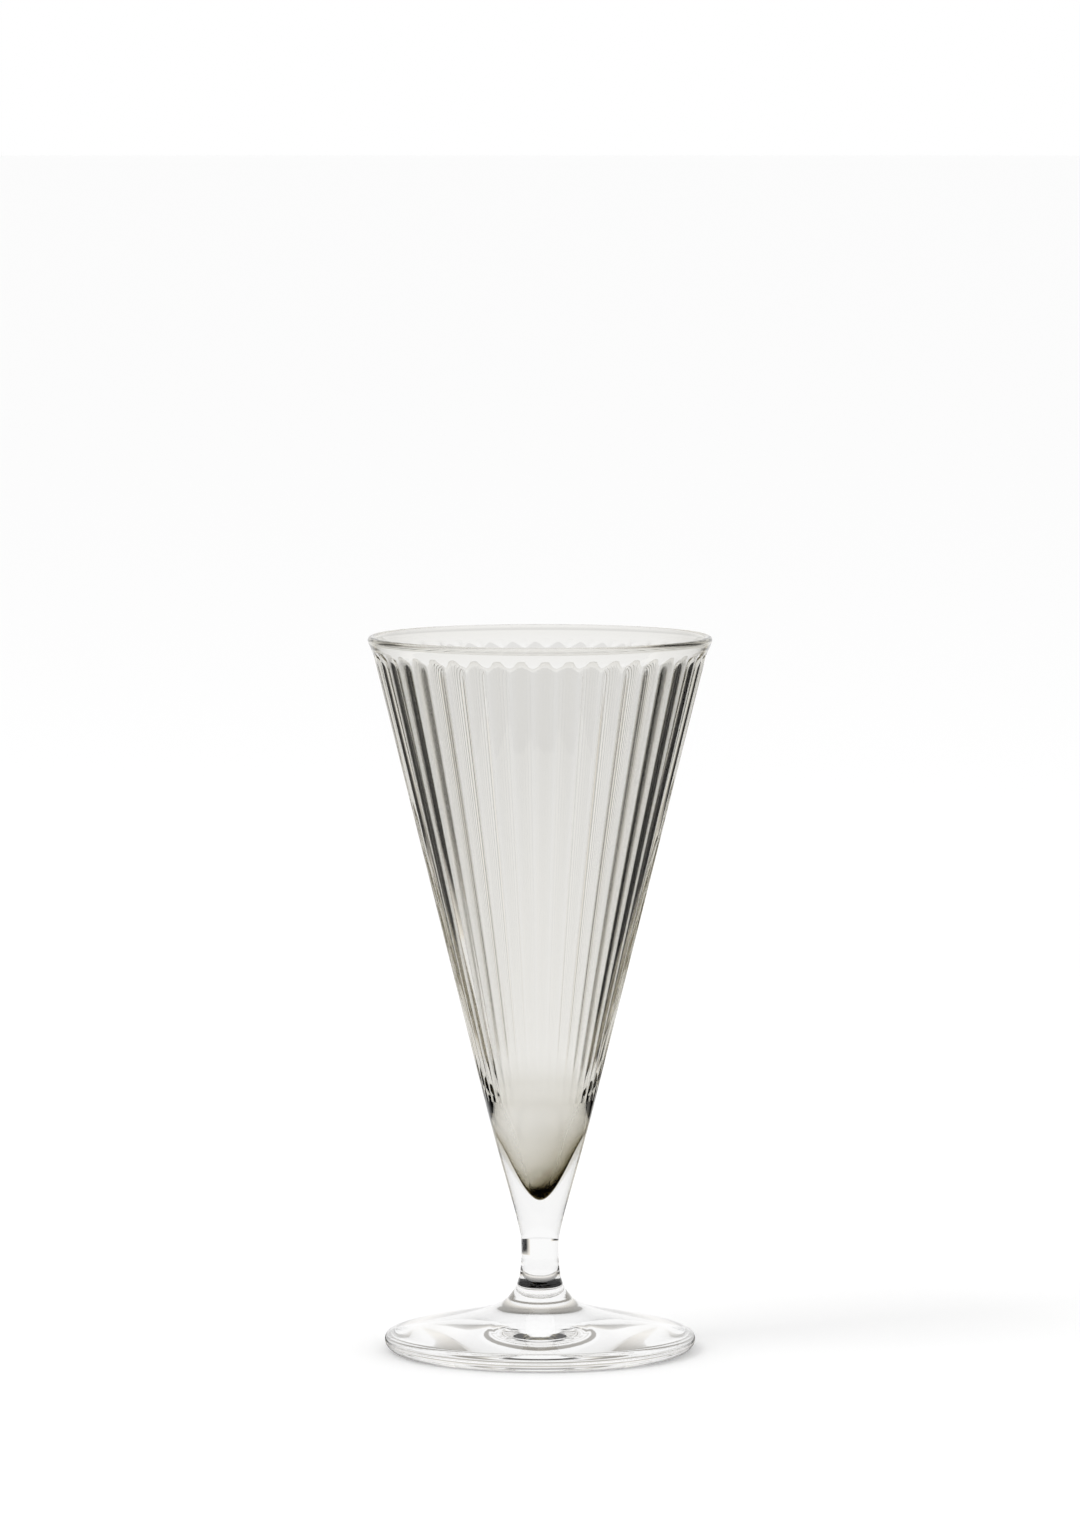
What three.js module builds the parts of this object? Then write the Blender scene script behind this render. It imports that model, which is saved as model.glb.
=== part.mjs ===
// Three-piece stemmed glass: a tinted conical bowl with pressed ribs, a clear stem and a clear round foot.
// The pieces are hot-joined: the bowl's tip sits in the stem's flared cup, and the stem is welded to the
// foot's hub. Millimetres, +Z up, origin at the middle of the surface that the foot rests on.
import * as THREE from 'three';

// Bowl: a straight cone, with the widest point of the lip as its reference.
const rimRadius = 40;
const rimHeight = 166.1;
const lipRadius = 0.9;
const coneSlope = 0.2476;
const coneRadiusAtRim = 39.5;
const bandBottom = 163.2;
const wallAtRim = 1.8;
const wallAtCup = 1.4;
const straightBottom = 70;
const cavityFloor = 37.8;
const tipHeight = 35.85;
const shoulderHeight = 50;
const tipShoulderRadius = 7.3;
const cavityShoulderRadius = 6.25;

// Ribs: rounded ridges side by side, so that a groove lies between each two.
const ribCount = 44;
const samplesPerRib = 2;
const ribPhase = THREE.MathUtils.degToRad(1.7);
const grooveDepth = 0.5;
const grooveFullTop = 159.8;
const grooveFullBottom = 72;
const grooveEnd = 60;

// Stem: the cup's thin edge lies on the cone, and the stem narrows to a slim waist above the weld.
const cupEdgeHeight = 59;
const cupEdgeThickness = 0.4;
const stemRadius = 4.4;
const stemTop = 25.5;
const waistRadius = 4.33;
const waistHeight = 22;
const weldRadius = 4.6;
const weldHeight = 18.7;

// Foot: a hub that spreads into a shallow dome with a full-round edge, standing on a narrow flat ring.
const footRadius = 36.2;
const footEdgeHeight = 2.6;
const footEdgeRadius = 1.8;
const restingOuterRadius = 33.6;
const restingInnerRadius = 31.6;
const hollowHeight = 0.8;
const hubRadius = 7.6;
const hubHeight = 12.1;

// Hot joints: the faces that are fused are kept this far apart, as separate solids.
const fuseGap = 0.1;
const curveSteps = 4;

// Radius of the cone that touches every rib's crest.
function coneRadius(height) {
  return coneRadiusAtRim + (height - rimHeight) * coneSlope;
}

// Depth of the grooves: rounded at the top under the rim band, fading to nothing towards the tip.
function grooveDepthAt(height) {
  const top = THREE.MathUtils.clamp((bandBottom - height) / (bandBottom - grooveFullTop), 0, 1);
  const bottom = THREE.MathUtils.clamp((height - grooveEnd) / (grooveFullBottom - grooveEnd), 0, 1);
  return grooveDepth * Math.sqrt(top * (2 - top)) * bottom;
}

// The bowl's outside from its tip to the cup's edge, moved outwards for the stem's matching socket.
function addTip(path, gap) {
  const edgeRadius = coneRadius(cupEdgeHeight) - cupEdgeThickness;
  const shoulderRadius = tipShoulderRadius + gap;
  path.moveTo(0, tipHeight - gap);
  path.bezierCurveTo(2.3, tipHeight - gap, 5.2 + gap, 45.2, shoulderRadius, shoulderHeight);
  path.bezierCurveTo(8.9 + gap, 53.6, 11 + gap, 57.3, edgeRadius + gap / 2, cupEdgeHeight - gap);
}

function makeBowlProfile() {
  const path = new THREE.Path();
  const innerTop = rimRadius - wallAtRim;
  const innerBottom = coneRadius(straightBottom) - wallAtCup;
  addTip(path, 0);
  path.lineTo(coneRadius(cupEdgeHeight), cupEdgeHeight);
  path.lineTo(coneRadius(grooveEnd), grooveEnd);
  path.lineTo(coneRadius((grooveEnd + grooveFullBottom) / 2), (grooveEnd + grooveFullBottom) / 2);
  path.lineTo(coneRadius(grooveFullBottom), grooveFullBottom);
  path.lineTo(coneRadius(grooveFullTop), grooveFullTop);
  path.lineTo(coneRadius((grooveFullTop + bandBottom) / 2), (grooveFullTop + bandBottom) / 2);
  path.lineTo(coneRadius(bandBottom), bandBottom);
  path.lineTo(rimRadius, rimHeight);
  path.absarc(rimRadius - lipRadius, rimHeight, lipRadius, 0, Math.PI, false);
  path.lineTo(innerBottom, straightBottom);
  path.bezierCurveTo(12.5, 62.7, 8.5, 55, cavityShoulderRadius, shoulderHeight);
  path.bezierCurveTo(4.5, 45.6, 2.2, cavityFloor, 0, cavityFloor);
  return path.getPoints(curveSteps);
}

// Press the grooves into the outside of the bowl, leaving the crest of each rib on the cone.
function pressGrooves(geometry) {
  const position = geometry.attributes.position;
  const ribPitch = 2 * Math.PI / ribCount;
  for (let i = 0; i < position.count; i += 1) {
    const [x, height, z] = [position.getX(i), position.getY(i), position.getZ(i)];
    const radius = Math.hypot(x, z);
    const isOutside = radius > coneRadius(height) - 0.01;
    if (isOutside && height > grooveEnd && height < bandBottom) {
      const turn = (Math.atan2(x, z) - ribPhase) / ribPitch;
      const fromCrest = 2 * Math.abs(turn - Math.round(turn));
      const scale = 1 - grooveDepthAt(height) * fromCrest ** 2 / radius;
      position.setXYZ(i, x * scale, height, z * scale);
    }
  }
}

function makeStemProfile() {
  const path = new THREE.Path();
  const waistEase = (waistHeight - weldHeight) / 2;
  path.moveTo(0, weldHeight + fuseGap);
  path.lineTo(weldRadius, weldHeight + fuseGap);
  path.bezierCurveTo(weldRadius - 0.2, weldHeight + waistEase, waistRadius, waistHeight - waistEase / 2,
    waistRadius, waistHeight);
  path.lineTo(stemRadius, stemTop);
  path.bezierCurveTo(stemRadius, 29.2, coneRadius(39.8), 39.8, coneRadius(cupEdgeHeight),
    cupEdgeHeight - fuseGap);
  const outside = path.getPoints(curveSteps);
  const socket = new THREE.Path();
  addTip(socket, fuseGap);
  return outside.concat(socket.getPoints(curveSteps).reverse());
}

function makeFootProfile() {
  const path = new THREE.Path();
  const edgeCentre = footRadius - footEdgeRadius;
  path.moveTo(0, hollowHeight);
  path.quadraticCurveTo(restingInnerRadius / 2, hollowHeight, restingInnerRadius, 0);
  path.lineTo(restingOuterRadius, 0);
  path.quadraticCurveTo(footRadius - 0.3, 0.6, footRadius, footEdgeHeight);
  path.absarc(edgeCentre, footEdgeHeight, footEdgeRadius, 0, 0.42 * Math.PI, false);
  path.bezierCurveTo(28, 6.6, 14.5, 8.2, hubRadius + 2.6, 10.6);
  path.quadraticCurveTo(hubRadius + 1.1, 11.3, hubRadius, hubHeight);
  path.bezierCurveTo(6.5, 13.6, 5.1, 14.6, weldRadius, weldHeight);
  path.lineTo(0, weldHeight);
  return path.getPoints(curveSteps);
}

// Turn a profile (radius, height) about the glass's axis, with its first side facing -Y.
function turnProfile(profile, segments) {
  return new THREE.LatheGeometry(profile, segments, ribPhase);
}

function makePiece(name, geometry, color) {
  geometry.rotateX(Math.PI / 2);
  const material = new THREE.MeshStandardMaterial({ color, roughness: 0.04, metalness: 0 });
  const piece = new THREE.Mesh(geometry, material);
  piece.name = name;
  return piece;
}

const bowlGeometry = turnProfile(makeBowlProfile(), ribCount * samplesPerRib);
pressGrooves(bowlGeometry);

const group = new THREE.Group();
group.add(makePiece('bowl', bowlGeometry, '#b9b5ab'));
group.add(makePiece('stem', turnProfile(makeStemProfile(), 48), '#f2f5f5'));
group.add(makePiece('foot', turnProfile(makeFootProfile(), 64), '#f2f5f5'));

export default group;
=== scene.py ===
from math import atan2, cos, hypot, pi, radians, sin, sqrt

import bmesh
import bpy
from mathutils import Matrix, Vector
from mathutils.geometry import interpolate_bezier


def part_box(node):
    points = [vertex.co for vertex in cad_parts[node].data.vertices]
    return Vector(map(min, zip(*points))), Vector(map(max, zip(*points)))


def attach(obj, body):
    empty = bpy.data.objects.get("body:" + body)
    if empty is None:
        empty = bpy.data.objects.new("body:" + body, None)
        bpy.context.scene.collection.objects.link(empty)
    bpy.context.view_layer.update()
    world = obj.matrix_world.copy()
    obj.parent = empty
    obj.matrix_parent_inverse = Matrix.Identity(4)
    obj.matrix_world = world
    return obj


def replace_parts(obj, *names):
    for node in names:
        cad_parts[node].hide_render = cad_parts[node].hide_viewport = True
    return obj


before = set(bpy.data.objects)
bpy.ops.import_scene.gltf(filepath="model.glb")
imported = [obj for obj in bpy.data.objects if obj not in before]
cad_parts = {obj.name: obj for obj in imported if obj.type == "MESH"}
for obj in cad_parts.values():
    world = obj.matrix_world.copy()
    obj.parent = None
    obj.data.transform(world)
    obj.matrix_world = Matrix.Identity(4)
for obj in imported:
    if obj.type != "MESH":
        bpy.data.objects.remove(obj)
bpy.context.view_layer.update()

mm = 0.001
bowlLow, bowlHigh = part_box("bowl")
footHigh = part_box("foot")[1]


# helpers: colour, nodes and outlines of (radius, height) points in millimetres

def linear(hexColour):
    # sRGB hex to linear RGBA
    parts = [int(hexColour[i:i + 2], 16) / 255 for i in (1, 3, 5)]
    return [c / 12.92 if c <= 0.04045 else ((c + 0.055) / 1.055) ** 2.4 for c in parts] + [1]


def addNode(tree, kind, settings=None, inputs=None):
    # inputs maps a socket's name or number to a value, or to the output socket that feeds it
    node = tree.nodes.new(kind)
    for name, value in (settings or {}).items():
        setattr(node, name, value)
    for key, value in (inputs or {}).items():
        if isinstance(value, bpy.types.NodeSocket):
            tree.links.new(value, node.inputs[key])
        else:
            node.inputs[key].default_value = value
    return node


def newTree(name):
    # an empty node material
    material = bpy.data.materials.new(name)
    material.use_nodes = True
    material.node_tree.nodes.clear()
    return material, material.node_tree


def curve(start, handleA, handleB, end, steps):
    # points of a bezier stretch, without its first point
    ends = [Vector((r, 0, z)) for r, z in (start, handleA, handleB, end)]
    return [(p.x, p.z) for p in interpolate_bezier(*ends, steps + 1)][1:]


def arc(centre, radius, fromAngle, toAngle, steps):
    # points of an arc without its first point, angles in degrees from straight out
    angles = [radians(fromAngle + (toAngle - fromAngle) * i / steps) for i in range(1, steps + 1)]
    return [(centre[0] + radius * cos(a), centre[1] + radius * sin(a)) for a in angles]


def straight(start, end, steps):
    # points of a straight stretch, without its first point
    (r0, z0), (r1, z1) = start, end
    return [(r0 + (r1 - r0) * i / steps, z0 + (z1 - z0) * i / steps) for i in range(1, steps + 1)]


def turnPiece(profile, steps):
    # a closed body turned about Z from an outline that starts and ends on the axis
    bm = bmesh.new()
    verts = [bm.verts.new((0, -r * mm, z * mm)) for r, z in profile]
    edges = [bm.edges.new(pair) for pair in zip(verts, verts[1:])]
    bmesh.ops.spin(bm, geom=verts + edges, axis=(0, 0, 1), cent=(0, 0, 0),
                   angle=2 * pi, steps=steps, use_merge=True)
    bmesh.ops.remove_doubles(bm, verts=bm.verts, dist=1e-7)
    bmesh.ops.recalc_face_normals(bm, faces=bm.faces)
    return bm


def middleHeight(face):
    return face.calc_center_median().z / mm


def finishPiece(bm, name, material, isFused):
    # mark the fused faces, smooth all but the sharp corners and hand the piece to the frame
    sharpAngle = radians(35)
    fused = bm.faces.layers.float.new("fused")
    for face in bm.faces:
        face.smooth = True
        face[fused] = 1.0 if isFused(face) else 0.0
    for edge in bm.edges:
        edge.smooth = edge.calc_face_angle(0) < sharpAngle
    mesh = bpy.data.meshes.new(name)
    bm.to_mesh(mesh)
    bm.free()
    piece = bpy.data.objects.new(name, mesh)
    bpy.context.scene.collection.objects.link(piece)
    mesh.materials.append(material)
    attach(piece, "root")
    print("made", name, "with", len(mesh.polygons), "faces")
    return piece


# glass: pieces that are melted together have no surface between them, so their fused faces don't bend light

glass = {
    "ior": 1.5,
    "fusedIor": 1.0,
    "smokeColour": linear("#897900"),  # what one absorption length of the smoke lets through
    "smokeDensity": 80.0,              # per metre
    "gatherDensity": 2500.0,
    "swellSize": 22.0,                 # mm from one soft swell of the surface to the next
    "swellDepth": 0.012,               # mm
    "fuseGap": 0.012,                  # mm that keeps fused faces apart, too thin to see
}


def makeGlass(name, density=None):
    # fire-polished glass: a clean gloss, with slow swells that make straight reflections waver a little,
    # and a smoke tint inside that deepens with the glass's thickness, where a density is given
    material, tree = newTree(name)
    fused = addNode(tree, "ShaderNodeAttribute", {"attribute_name": "fused"})
    ior = addNode(tree, "ShaderNodeMapRange", {}, {
        "Value": fused.outputs["Fac"], "To Min": glass["ior"], "To Max": glass["fusedIor"]})
    place = addNode(tree, "ShaderNodeTexCoord")
    swells = addNode(tree, "ShaderNodeTexNoise", {}, {
        "Vector": place.outputs["Object"], "Scale": 1 / (glass["swellSize"] * mm), "Detail": 1.0})
    bump = addNode(tree, "ShaderNodeBump", {}, {
        "Height": swells.outputs["Fac"], "Distance": glass["swellDepth"] * mm, "Strength": 1.0})
    surface = addNode(tree, "ShaderNodeBsdfPrincipled", {}, {
        "Base Color": (1, 1, 1, 1), "Roughness": 0.0, "Transmission Weight": 1.0,
        "IOR": ior.outputs["Result"], "Normal": bump.outputs["Normal"]})
    output = addNode(tree, "ShaderNodeOutputMaterial", {}, {"Surface": surface.outputs["BSDF"]})
    if density:
        smoke = addNode(tree, "ShaderNodeVolumeAbsorption", {}, {
            "Color": glass["smokeColour"], "Density": density})
        tree.links.new(smoke.outputs["Volume"], output.inputs["Volume"])
    return material


smokeGlass = makeGlass("smokeGlassFirePolished", glass["smokeDensity"])
gatherGlass = makeGlass("smokeGlassGather", glass["gatherDensity"])
clearGlass = makeGlass("clearGlassFirePolished")
print("glass ready")


# bowl: lengths in millimetres, the phase in degrees

lip = 0.9
bowl = {
    "rimRadius": bowlHigh[0] / mm, "rimHeight": bowlHigh[2] / mm - lip, "wallAtRim": 1.8,
    "coneSlope": 0.2476, "coneRadiusAtRim": 39.5,
    "flareStart": 162.0, "flareMiddle": 164.0, "flareEnd": 165.2,  # where the rim band swells out to the lip
    "ribs": 44, "stepsPerRib": 12, "phase": 1.7,
    "groove": 0.8, "grooveRadius": 38.0, "grooveSharpness": 2.0,   # depth at this cone radius, less below it
    "bandBottom": 163.2, "grooveFullTop": 159.8, "grooveFullBottom": 72.0, "grooveEnd": 55.0,
    "fineFrom": 155.0,                                             # closer rows above this
    "wallAtCup": 1.4, "straightBottom": 70.0,
    "cavityBend": [(12.5, 62.7), (8.5, 55.0)], "cavityShoulder": (6.25, 50.0),
    "cavityEnd": (4.5, 45.6), "cavityFloor": 36.0, "cavityFloorReach": 2.2,
    "cupEdge": 59.0, "edgeThickness": 0.08,
    "tipBend": [(8.9, 53.6), (11.0, 57.3)], "tipShoulder": (7.3, 50.0),
    "tipEnd": (5.2, 45.2), "tip": bowlLow[2] / mm, "tipReach": 2.3,
}


def coneRadius(height):
    return bowl["coneRadiusAtRim"] + (height - bowl["rimHeight"]) * bowl["coneSlope"]


def onCone(height):
    return coneRadius(height), height


def wider(point, gap):
    return point[0] + gap, point[1]


def grooveDepth(height):
    # rounded off under the rim band, and fading to nothing towards the tip
    top = (bowl["bandBottom"] - height) / (bowl["bandBottom"] - bowl["grooveFullTop"])
    bottom = (height - bowl["grooveEnd"]) / (bowl["grooveFullBottom"] - bowl["grooveEnd"])
    top = min(max(top, 0), 1)
    bottom = min(max(bottom, 0), 1)
    full = bowl["groove"] * coneRadius(height) / bowl["grooveRadius"]
    return full * sqrt(top * (2 - top)) * bottom * bottom * (3 - 2 * bottom)


def tipCurve(gap):
    # where the smoke glass meets the clear cup, from the axis out to the cup's edge
    start = (0, bowl["tip"] - gap)
    shoulder = wider(bowl["tipShoulder"], gap)
    end = (coneRadius(bowl["cupEdge"]) - bowl["edgeThickness"] + gap / 2, bowl["cupEdge"] - gap)
    low, high = [wider(point, gap) for point in bowl["tipBend"]]
    points = [start] + curve(start, (bowl["tipReach"], start[1]), wider(bowl["tipEnd"], gap), shoulder, 20)
    return points + curve(shoulder, low, high, end, 10)


def cavityCurve(gap):
    # inner wall of the bowl's tip, from its straight cone down to the axis
    top = (coneRadius(bowl["straightBottom"]) - bowl["wallAtCup"] - gap, bowl["straightBottom"])
    shoulder = wider(bowl["cavityShoulder"], -gap)
    floor = bowl["cavityFloor"] + gap
    high, low = [wider(point, -gap) for point in bowl["cavityBend"]]
    end = wider(bowl["cavityEnd"], -gap)
    points = [top] + curve(top, high, low, shoulder, 16)
    return points + curve(shoulder, end, (bowl["cavityFloorReach"], floor), (0, floor), 20)


def pressGrooves(bm):
    # push the outside in between the ribs' crests
    pitch = 2 * pi / bowl["ribs"]
    for v in bm.verts:
        height = v.co.z / mm
        radius = hypot(v.co.x, v.co.y)
        if height > bowl["cupEdge"] and radius / mm > coneRadius(height) - 0.01:
            turn = (atan2(v.co.x, -v.co.y) - radians(bowl["phase"])) / pitch
            fromCrest = 2 * abs(turn - round(turn))
            scale = 1 - grooveDepth(height) * mm * fromCrest ** bowl["grooveSharpness"] / radius
            v.co.x *= scale
            v.co.y *= scale
    bm.normal_update()


def makeBowl():
    edge = bowl["cupEdge"]
    rim = (bowl["rimRadius"], bowl["rimHeight"])
    innerTop = (bowl["rimRadius"] - bowl["wallAtRim"], bowl["rimHeight"])
    profile = tipCurve(0)
    profile.append(onCone(edge))
    profile += straight(onCone(edge), onCone(bowl["fineFrom"]), 34)
    profile += straight(onCone(bowl["fineFrom"]), onCone(bowl["flareStart"]), 14)
    profile += curve(onCone(bowl["flareStart"]), onCone(bowl["flareMiddle"]),
                     (rim[0], bowl["flareEnd"]), rim, 8)
    profile += arc((rim[0] - lip, rim[1]), lip, 0, 180, 12)
    inner = cavityCurve(0)
    profile += straight(innerTop, inner[0], 12)
    profile += inner[1:]
    bm = turnPiece(profile, bowl["ribs"] * bowl["stepsPerRib"])
    pressGrooves(bm)

    def isFused(face):
        meetsCup = face.normal.z < 0 and middleHeight(face) < edge + 0.001
        meetsGather = face.normal.z > 0 and middleHeight(face) < gather["top"]
        return meetsCup or meetsGather

    return finishPiece(bm, "bowl_glass", smokeGlass, isFused)


# gather: the dark end of the smoke glass, a thin lining of the cavity's tip that is thickest at the point;
# its extra thickness towards +X is painted shade

gather = {
    "top": 69.0, "floor": 37.8, "solidBelow": 41.0,
    # painted shade: the lean darkens the cavity's outline on the +X side
    "lean": 0.45,  # how much thicker the lining is towards +X
    # heights, each with the lining's thickness there
    "thickness": [(37, 0.9), (41, 0.27), (44, 0.14), (50, 0.07), (58, 0.02), (69, 0.001)],
    "pointBend": (0.9, 2.3), "pointReach": 1.3,
}


def gatherThickness(height):
    steps = gather["thickness"]
    for (lowHeight, low), (highHeight, high) in zip(steps, steps[1:]):
        if height <= highHeight:
            part = max((height - lowHeight) / (highHeight - lowHeight), 0)
            return low * (high / low) ** part
    return steps[-1][1]


def makeGather():
    wall = [(r, z) for r, z in cavityCurve(glass["fuseGap"]) if z < gather["top"]]
    inside = [(r - gatherThickness(z), z) for r, z in wall if z > gather["solidBelow"]]
    low = inside[-1]
    bend = (low[0] - gather["pointBend"][0], low[1] - gather["pointBend"][1])
    point = (0, gather["floor"])
    profile = wall[::-1] + inside + curve(low, bend, (gather["pointReach"], point[1]), point, 12)
    bm = turnPiece(profile, 256)
    lining = [v for v in bm.verts if all(f.normal.z > 0 for f in v.link_faces)]
    # painted shade: thicken the lining towards +X
    for v in lining:
        v.co.x -= gather["lean"] * gatherThickness(v.co.z / mm) * mm
    return finishPiece(bm, "bowl_core", gatherGlass, lambda face: face.normal.z < 0)


# stem

stem = {
    "radius": 4.4, "top": 25.5, "waist": 4.33, "waistHeight": 22.0,
    "weld": 4.6, "weldHeight": footHigh[2] / mm, "weldBend": 0.2,
    "flareFrom": 29.2, "flareTo": 39.8,  # heights of the handles that carry the stem into the bowl's cone
}


def makeStem():
    weld = stem["weldHeight"] + glass["fuseGap"]
    ease = (stem["waistHeight"] - stem["weldHeight"]) / 2
    edge = bowl["cupEdge"]
    waist = (stem["waist"], stem["waistHeight"])
    top = (stem["radius"], stem["top"])
    profile = [(0, weld)] + straight((0, weld), (stem["weld"], weld), 6)
    profile += curve(profile[-1], (stem["weld"] - stem["weldBend"], weld + ease),
                     (waist[0], waist[1] - ease / 2), waist, 10)
    profile += straight(waist, top, 4)
    profile += curve(top, (stem["radius"], stem["flareFrom"]), onCone(stem["flareTo"]),
                     (coneRadius(edge), edge - glass["fuseGap"]), 40)
    profile += tipCurve(glass["fuseGap"])[::-1]
    bm = turnPiece(profile, 256)

    def isFused(face):
        holdsBowl = face.normal.z > 0.1 and middleHeight(face) > stem["flareFrom"]
        meetsFoot = face.normal.z < -0.99 and middleHeight(face) < stem["weldHeight"] + 1
        return holdsBowl or meetsFoot

    return finishPiece(bm, "stem_glass", clearGlass, isFused)


# foot

foot = {
    "radius": 36.2, "edgeHeight": 2.6, "edgeRadius": 1.8, "edgeTurn": 76,
    "restOuter": 33.6, "restInner": 31.6, "restBend": [(34.9, 0.2), (36.2, 1.3)], "hollow": 0.8,
    "domeBend": [(28.0, 6.6), (14.5, 8.2)], "hubSkirt": (10.2, 10.6),
    "hubBend": [(9.2, 11.0), (8.3, 11.5)], "hub": (7.6, 12.1), "neckBend": [(6.5, 13.6), (5.1, 14.6)],
}


def makeFoot():
    weld = (stem["weld"], stem["weldHeight"])
    inner, outer, hollow = foot["restInner"], foot["restOuter"], foot["hollow"]
    edge = (foot["radius"], foot["edgeHeight"])
    profile = [(0, hollow)]
    profile += curve(profile[-1], (inner / 3, hollow), (inner * 2 / 3, hollow * 2 / 3), (inner, 0), 24)
    profile += straight((inner, 0), (outer, 0), 2)
    profile += curve((outer, 0), *foot["restBend"], edge, 12)
    profile += arc((edge[0] - foot["edgeRadius"], edge[1]), foot["edgeRadius"], 0, foot["edgeTurn"], 12)
    profile += curve(profile[-1], *foot["domeBend"], foot["hubSkirt"], 24)
    profile += curve(profile[-1], *foot["hubBend"], foot["hub"], 8)
    profile += curve(profile[-1], *foot["neckBend"], weld, 16)
    profile += straight(weld, (0, weld[1]), 6)
    bm = turnPiece(profile, 288)
    return finishPiece(bm, "foot_glass", clearGlass,
                       lambda face: face.normal.z > 0.99 and middleHeight(face) > weld[1] - 0.1)


for node, makers in {"bowl": (makeBowl, makeGather), "stem": (makeStem,), "foot": (makeFoot,)}.items():
    for make in makers:
        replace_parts(make(), node)


# stage: metres and degrees, with azimuth 0 straight behind the glass and 90 at +X

# painted contact shadow: a dark ring on the paper where the foot rests, seen only through the glass
contactShadowRing = [(0.031, 0.9), (0.033, 0.1), (0.037, 0.1), (0.041, 0.9)]
stage = {
    "paperColour": (0.97, 0.97, 0.97, 1),
    # painted light: the paper's glow seen by the glass is full near the glass and dims to farLevel far away
    "fadeFrom": 0.5, "fadeTo": 1.6, "farLevel": 0.86,  # how the paper falls off away from the glass
    "paperHalf": 20, "paperHeight": -0.00004,
    # reflections see white behind the glass and a dark room to the sides, so that edges keep an outline
    "mirror": {"darkFrom": 0.60, "whiteFrom": 0.92, "level": 0.02},
    "cardTone": "#FFFAF1",
    "cardFade": 12,                                    # a card's shade fades in over this much from its ends
    # flat cards of painted shade that only the glass sees: azimuths, height, then radius and brightness of
    # each ring
    "cards": [
        (22, 94, -0.00002, [(0.16, 1.0), (0.20, 0.0), (1.10, 0.0)]),
        (-94, -25, -0.00002, [(0.27, 1.0), (0.33, 0.02), (1.10, 0.02)]),
        # painted contact shadow under the foot: dark under its middle and fading outwards, with a darker
        # ring where the foot rests
        (-180, 180, -0.00002, [(0, 0.0), (0.013, 0.0), (0.023, 0.3), (0.029, 0.88), (0.033, 0.35),
                               (0.037, 0.35), (0.041, 0.95)]),
        (35, 145, -0.00001, contactShadowRing),
        (-145, -35, -0.00001, contactShadowRing),
    ],
    "key": {"at": (-0.9, -0.5, 1.5), "size": 0.7, "power": 5.0},
    "camera": {"distance": 1.9366, "height": 0.3050, "pitch": -4.95, "lens": 197.4, "farthest": 50},
}


def addToStage(name, data):
    item = bpy.data.objects.new(name, data)
    bpy.context.scene.collection.objects.link(item)
    return item


def addStageMesh(name, verts, faces, material):
    mesh = bpy.data.meshes.new(name)
    mesh.from_pydata(verts, [], faces)
    mesh.materials.append(material)
    item = addToStage(name, mesh)
    return item


def roomLevel(tree, towards, level):
    # brightness of the room: the given level through the glass, and the mirror levels in reflections
    mirror = stage["mirror"]
    ray = addNode(tree, "ShaderNodeLightPath")
    mirrored = addNode(tree, "ShaderNodeMath", {"operation": "SUBTRACT", "use_clamp": True}, {
        0: ray.outputs["Is Glossy Ray"], 1: ray.outputs["Is Transmission Ray"]})
    unit = addNode(tree, "ShaderNodeVectorMath", {"operation": "NORMALIZE"}, {0: towards})
    parts = addNode(tree, "ShaderNodeSeparateXYZ", {}, {0: unit.outputs["Vector"]})
    behind = addNode(tree, "ShaderNodeMapRange", {}, {
        "Value": parts.outputs["Y"], "From Min": mirror["darkFrom"], "From Max": mirror["whiteFrom"],
        "To Min": mirror["level"], "To Max": 1.0})
    mixed = addNode(tree, "ShaderNodeMix", {"data_type": "FLOAT"}, {
        0: mirrored.outputs[0], 2: level, 3: behind.outputs["Result"]})
    return mixed.outputs[0]


def makePaper():
    # matt paper that keeps the shadow where it is looked at directly; the glass sees it as a glow of painted
    # light that dims away from the glass
    material, tree = newTree("paperSweep")
    paper = addNode(tree, "ShaderNodeBsdfDiffuse", {}, {"Color": stage["paperColour"]})
    place = addNode(tree, "ShaderNodeTexCoord")
    away = addNode(tree, "ShaderNodeVectorMath", {"operation": "LENGTH"}, {0: place.outputs["Object"]})
    # painted light: the glow dims with distance from the glass
    fall = addNode(tree, "ShaderNodeMapRange", {}, {
        "Value": away.outputs["Value"], "From Min": stage["fadeFrom"], "From Max": stage["fadeTo"],
        "To Min": 1.0, "To Max": stage["farLevel"]})
    white = addNode(tree, "ShaderNodeEmission", {}, {
        "Color": (1, 1, 1, 1), "Strength": roomLevel(tree, place.outputs["Object"], fall.outputs["Result"])})
    ray = addNode(tree, "ShaderNodeLightPath")
    seen = addNode(tree, "ShaderNodeMath", {"operation": "MAXIMUM"}, {
        0: ray.outputs["Is Transmission Ray"], 1: ray.outputs["Is Glossy Ray"]})
    mixed = addNode(tree, "ShaderNodeMixShader", {}, {
        0: seen.outputs[0], 1: paper.outputs[0], 2: white.outputs[0]})
    addNode(tree, "ShaderNodeOutputMaterial", {}, {"Surface": mixed.outputs[0]})
    half = stage["paperHalf"]
    outline = ((-half, -half), (half, -half), (half, half), (-half, half))
    corners = [(x, y, stage["paperHeight"]) for x, y in outline]
    addStageMesh("floor", corners, [(0, 1, 2, 3)], material)


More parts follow.
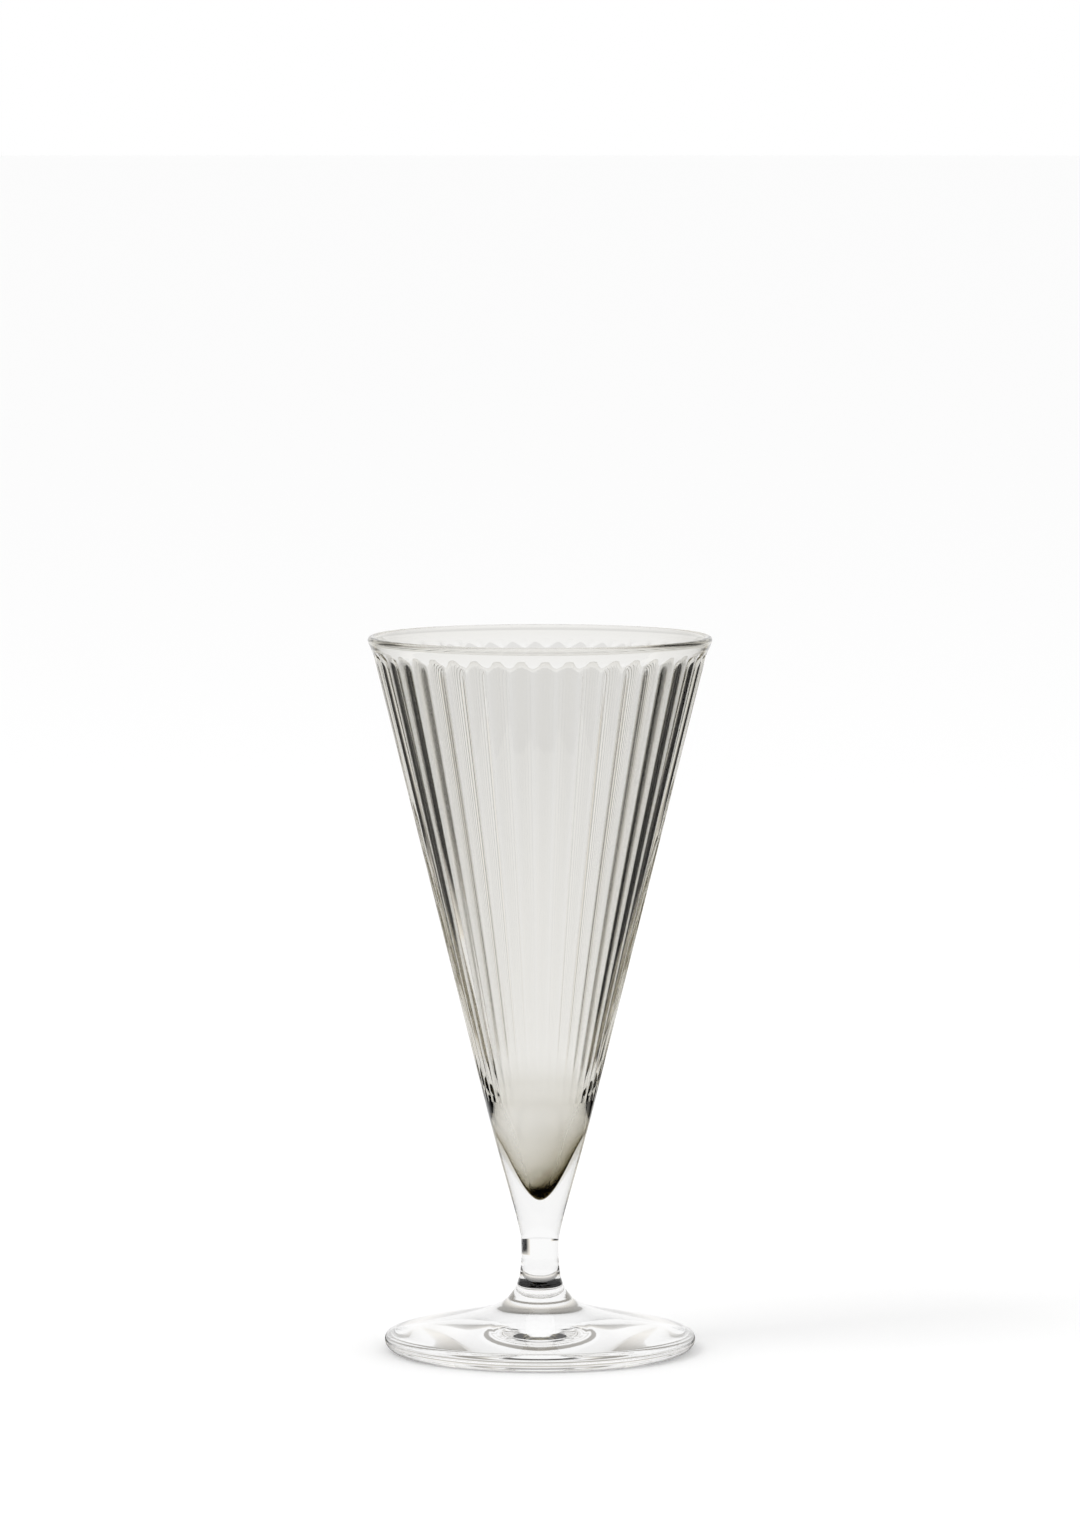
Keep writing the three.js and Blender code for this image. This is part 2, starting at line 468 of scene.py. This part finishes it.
def makeCards():
    # painted shade that only the glass sees: ring-shaped strips on the paper, with their brightness kept at
    # the corners
    material, tree = newTree("cardPaper")
    level = addNode(tree, "ShaderNodeAttribute", {"attribute_name": "level"})
    shade = addNode(tree, "ShaderNodeEmission", {}, {
        "Color": linear(stage["cardTone"]), "Strength": level.outputs["Fac"]})
    addNode(tree, "ShaderNodeOutputMaterial", {}, {"Surface": shade.outputs[0]})
    fade = radians(stage["cardFade"])
    for number, (fromAngle, toAngle, height, rings) in enumerate(stage["cards"]):
        isFullRing = toAngle - fromAngle == 360
        steps = int((toAngle - fromAngle) / 3)
        angles = [radians(fromAngle + (toAngle - fromAngle) * i / steps) for i in range(steps + 1)]
        strength = [min((a - angles[0]) / fade, (angles[-1] - a) / fade, 1) for a in angles]
        if isFullRing:
            strength = [1] * len(angles)
        verts = [(r * sin(a), r * cos(a), height) for r, _ in rings for a in angles]
        faces = [(j + i, j + i + 1, j + i + steps + 2, j + i + steps + 1)
                 for j in range(0, (steps + 1) * (len(rings) - 1), steps + 1) for i in range(steps)]
        card = addStageMesh(f"card{number}", verts, faces, material)
        levels = card.data.attributes.new("level", "FLOAT", "POINT")
        levels.data.foreach_set("value", [1 + (value - 1) * part for _, value in rings for part in strength])
        card.visible_camera = False
        card.visible_diffuse = False
        card.visible_shadow = False


def makeKey():
    key = stage["key"]
    data = bpy.data.lights.new("key", "AREA")
    data.size = key["size"]
    data.energy = key["power"]
    item = addToStage("key", data)
    item.location = key["at"]
    item.rotation_euler = (-Vector(key["at"])).to_track_quat("-Z", "Y").to_euler()
    item.visible_camera = False
    item.visible_glossy = False
    item.visible_transmission = False


def makeWorld():
    world = bpy.data.worlds.new("studio")
    bpy.context.scene.world = world
    world.use_nodes = True
    tree = world.node_tree
    place = addNode(tree, "ShaderNodeTexCoord")
    background = tree.nodes["Background"]
    background.inputs["Color"].default_value = (1, 1, 1, 1)
    tree.links.new(roomLevel(tree, place.outputs["Generated"], 1.0), background.inputs["Strength"])


def makeCamera():
    camera = stage["camera"]
    data = bpy.data.cameras.new("camera")
    data.lens = camera["lens"]
    data.clip_end = camera["farthest"]
    item = addToStage("camera", data)
    item.location = (0, -camera["distance"], camera["height"])
    item.rotation_euler = (radians(90 + camera["pitch"]), 0, 0)
    bpy.context.scene.camera = item


makePaper()
makeCards()
makeKey()
makeWorld()
makeCamera()
print("stage ready")

# light has to pass many surfaces of one glass wall behind another
scene = bpy.context.scene
scene.view_settings.view_transform = "Standard"
scene.cycles.transmission_bounces = 32
scene.cycles.glossy_bounces = 32
scene.cycles.max_bounces = 48
